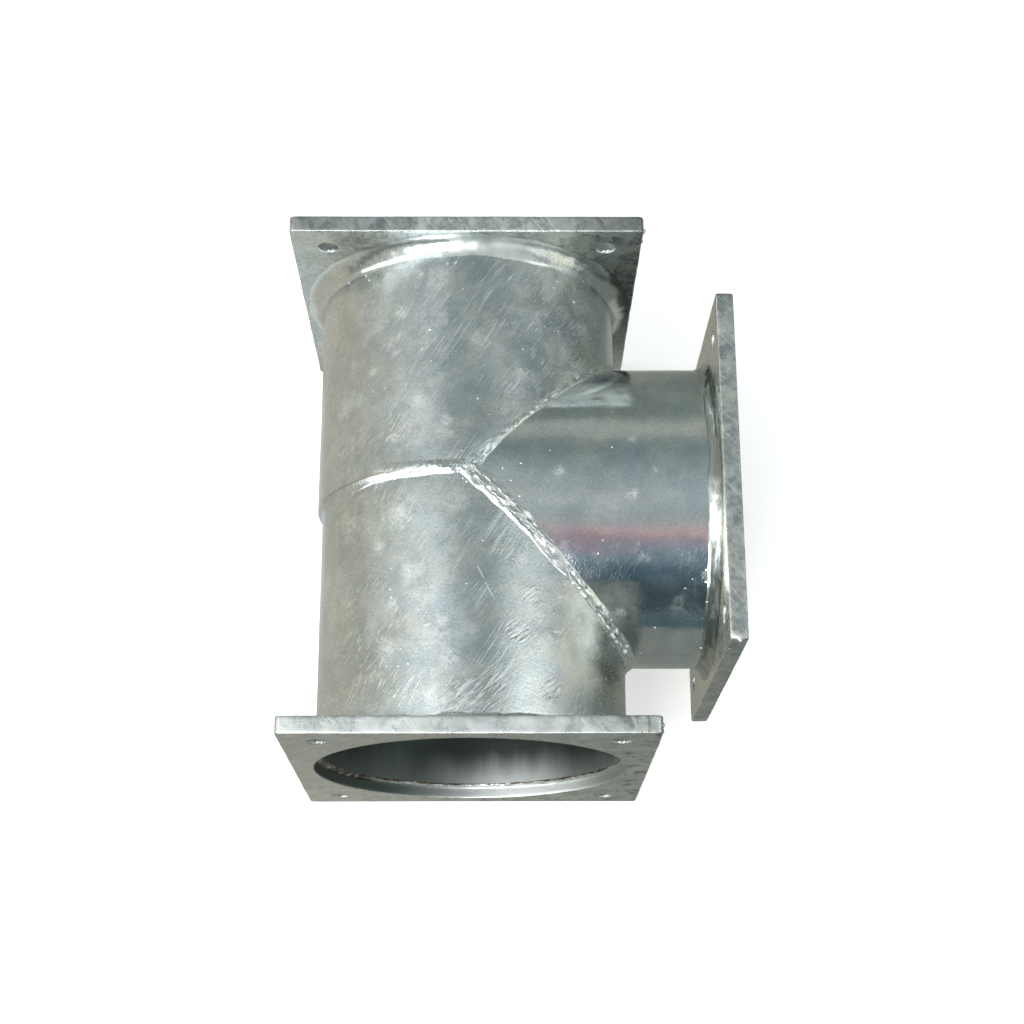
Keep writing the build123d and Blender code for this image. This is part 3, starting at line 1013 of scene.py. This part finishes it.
def sky_ramp(tree, angle, stops):
    """Colours set by an angle in degrees from the zenith, smoothly between the stops."""
    ramp = tree.nodes.new("ShaderNodeValToRGB")
    ramp.color_ramp.interpolation = "EASE"
    marks = ramp.color_ramp.elements
    while len(marks) < len(stops):
        marks.new(1.0)
    for mark, (angle_up, tone) in zip(marks, stops):
        mark.position = (angle_up + 120) / 240
        mark.color = (*tone, 1)
    turned = plus(tree, times(tree, angle, 180 / pi / 240), 0.5)
    tree.links.new(turned, ramp.inputs[0])
    return ramp.outputs[0]


# What stands round the tee, by the angle from overhead in degrees. Behind the tee, from the left (-) to the
# branch's side (+)
REAR_SIDES = [
    (-110, (0.44, 0.43, 0.35)), (-90, (0.50, 0.49, 0.41)), (-75, (0.53, 0.53, 0.47)),
    (-58, (0.54, 0.56, 0.52)), (-45, (0.54, 0.57, 0.55)), (-32, (0.47, 0.51, 0.51)),
    (-18, (0.39, 0.43, 0.45)), (-5, (0.36, 0.40, 0.41)), (8, (0.36, 0.40, 0.41)), (16, (0.36, 0.40, 0.41)),
    (28, (0.32, 0.36, 0.36)), (40, (0.27, 0.31, 0.305)), (50, (0.24, 0.28, 0.27)),
    (60, (0.20, 0.24, 0.235)), (75, (0.19, 0.23, 0.235)), (90, (0.14, 0.17, 0.185)),
]
# The same from in front of the tee, where a window stands on each side
FRONT_SIDES = [
    (-110, (0.44, 0.43, 0.35)), (-92, (0.50, 0.50, 0.43)), (-75, (0.51, 0.52, 0.48)),
    (-60, (0.70, 0.73, 0.70)), (-48, (1.03, 1.08, 1.04)), (-34, (1.40, 1.46, 1.44)),
    (-22, (1.45, 1.52, 1.52)), (-10, (1.02, 1.09, 1.11)), (6, (0.60, 0.65, 0.67)), (16, (0.58, 0.62, 0.62)),
    (30, (1.55, 1.65, 1.62)), (44, (2.00, 2.10, 2.05)), (57, (1.70, 1.75, 1.70)), (68, (0.90, 0.94, 0.92)),
    (80, (0.55, 0.59, 0.57)), (92, (0.38, 0.41, 0.38)),
]
# And from the rear (-) to the front (+), overhead
ENDS = [
    (-92, (0.22, 0.255, 0.23)), (-73, (0.22, 0.26, 0.235)), (-65, (0.25, 0.28, 0.255)),
    (-57, (0.43, 0.45, 0.40)), (-49, (0.40, 0.42, 0.385)), (-44, (0.28, 0.32, 0.30)),
    (-34, (0.24, 0.29, 0.285)), (-25, (0.30, 0.35, 0.345)), (-10, (0.39, 0.44, 0.44)),
    (4, (0.51, 0.55, 0.55)), (14, (0.45, 0.49, 0.49)), (23, (0.50, 0.48, 0.48)), (28, (0.70, 0.46, 0.45)),
    (32, (0.48, 0.37, 0.39)), (36, (0.32, 0.36, 0.41)), (46, (0.22, 0.29, 0.33)), (56, (0.09, 0.14, 0.175)),
    (74, (0.06, 0.09, 0.10)), (92, (0.06, 0.085, 0.095)),
]


def make_world():
    """Soft studio light all round: paler overhead and to the left, darker in front and towards the branch."""
    world = bpy.data.worlds.new("studio")
    bpy.context.scene.world = world
    world.use_nodes = True
    tree = world.node_tree
    tree.nodes.clear()
    heading = tree.nodes.new("ShaderNodeTexCoord").outputs["Generated"]
    x, y, z = axes_of(tree, heading)
    across = sums(tree, "ARCTAN2", x, z)
    sides = blend(tree, fade(tree, y, 0.13, 0.36), sky_ramp(tree, across, FRONT_SIDES),
                  sky_ramp(tree, across, REAR_SIDES))
    beside = times(tree, fade(tree, y, 0.10, -0.04), fade(tree, x, 0.24, 0.38))
    beyond = times(tree, fade(tree, y, -0.14, -0.26), fade(tree, x, 0.03, 0.14))
    right_low = times(tree, larger(tree, beside, beyond), fade(tree, z, 0.30, 0.50))
    sides = blend(tree, right_low, sides, (0.42, 0.45, 0.44))

    ends = sky_ramp(tree, sums(tree, "ARCTAN2", times(tree, y, -1.0), z), ENDS)
    pink = times(tree, between(tree, y, -0.42, -0.50, -0.74, -0.64), fade(tree, x, 0.078, 0.045))
    ends = blend(tree, pink, ends, (0.44, 0.31, 0.36))
    other_side = times(tree, fade(tree, x, 0.004, -0.04), fade(tree, y, -0.30, -0.40))
    ends = blend(tree, other_side, ends, (0.50, 0.54, 0.53))
    crown = times(tree, between(tree, y, 0.05, 0.14, 0.36, 0.26), fade(tree, x, 0.03, -0.05))
    ends = blend(tree, crown, ends, (0.52, 0.57, 0.57))
    middle = fade(tree, put(tree, "ShaderNodeMath", {0: x}, operation="ABSOLUTE").outputs[0], 0.38, 0.20)
    colour = blend(tree, middle, sides, ends)

    # A tall window on the left, and a brighter pane in front
    slanted = plus(tree, y, times(tree, z, 0.4))
    pane = times(tree, fade(tree, slanted, -0.22, -0.13), fade(tree, y, 0.06, -0.03),
                 fade(tree, x, -0.05, -0.15), between(tree, z, 0.03, 0.09, 0.82, 0.64))
    colour = blend(tree, pane, colour, (2.6, 2.65, 2.6))
    aim = Vector((-0.28, -0.78, 0.55)).normalized()
    ahead = vectors(tree, "DOT_PRODUCT", {0: heading, 1: aim})["Value"]
    ahead = times(tree, fade(tree, ahead, cos(radians(17)), cos(radians(9))), fade(tree, x, -0.05, -0.13))
    colour = blend(tree, ahead, colour, (9.0, 9.2, 9.0))

    around = put(tree, "ShaderNodeBackground", {"Color": colour, "Strength": 1.0})
    plain = put(tree, "ShaderNodeBackground", {"Color": (0.96, 0.96, 0.955, 1), "Strength": 1.0})
    by_camera(tree, around, plain, "ShaderNodeOutputWorld")


def add_softbox(name, place, aim, width, height, radiance, colour):
    """A flat soft light, whose brightness is given as the radiance that the metal mirrors."""
    data = bpy.data.lights.new(name, "AREA")
    data.shape = "ELLIPSE"
    data.size, data.size_y = width, height
    data.energy = radiance * pi * width * height * pi / 4
    data.color = colour
    lamp = link(name, data)
    lamp.location = place
    lamp.rotation_euler = (Vector(aim) - Vector(place)).to_track_quat("-Z", "Y").to_euler()


make_floor()
make_world()
add_softbox("softbox_right", (0.60, 0.05, 0.78), (0.04, 0.05, 0.05), 0.26, 0.36, 0.6, (0.97, 1.0, 0.99))
add_softbox("softbox_left", (-0.44, -0.14, 0.90), (-0.03, 0.08, 0.08), 0.40, 0.46, 3.0, (0.98, 1.0, 0.98))

bpy.context.scene.view_settings.view_transform = "Standard"
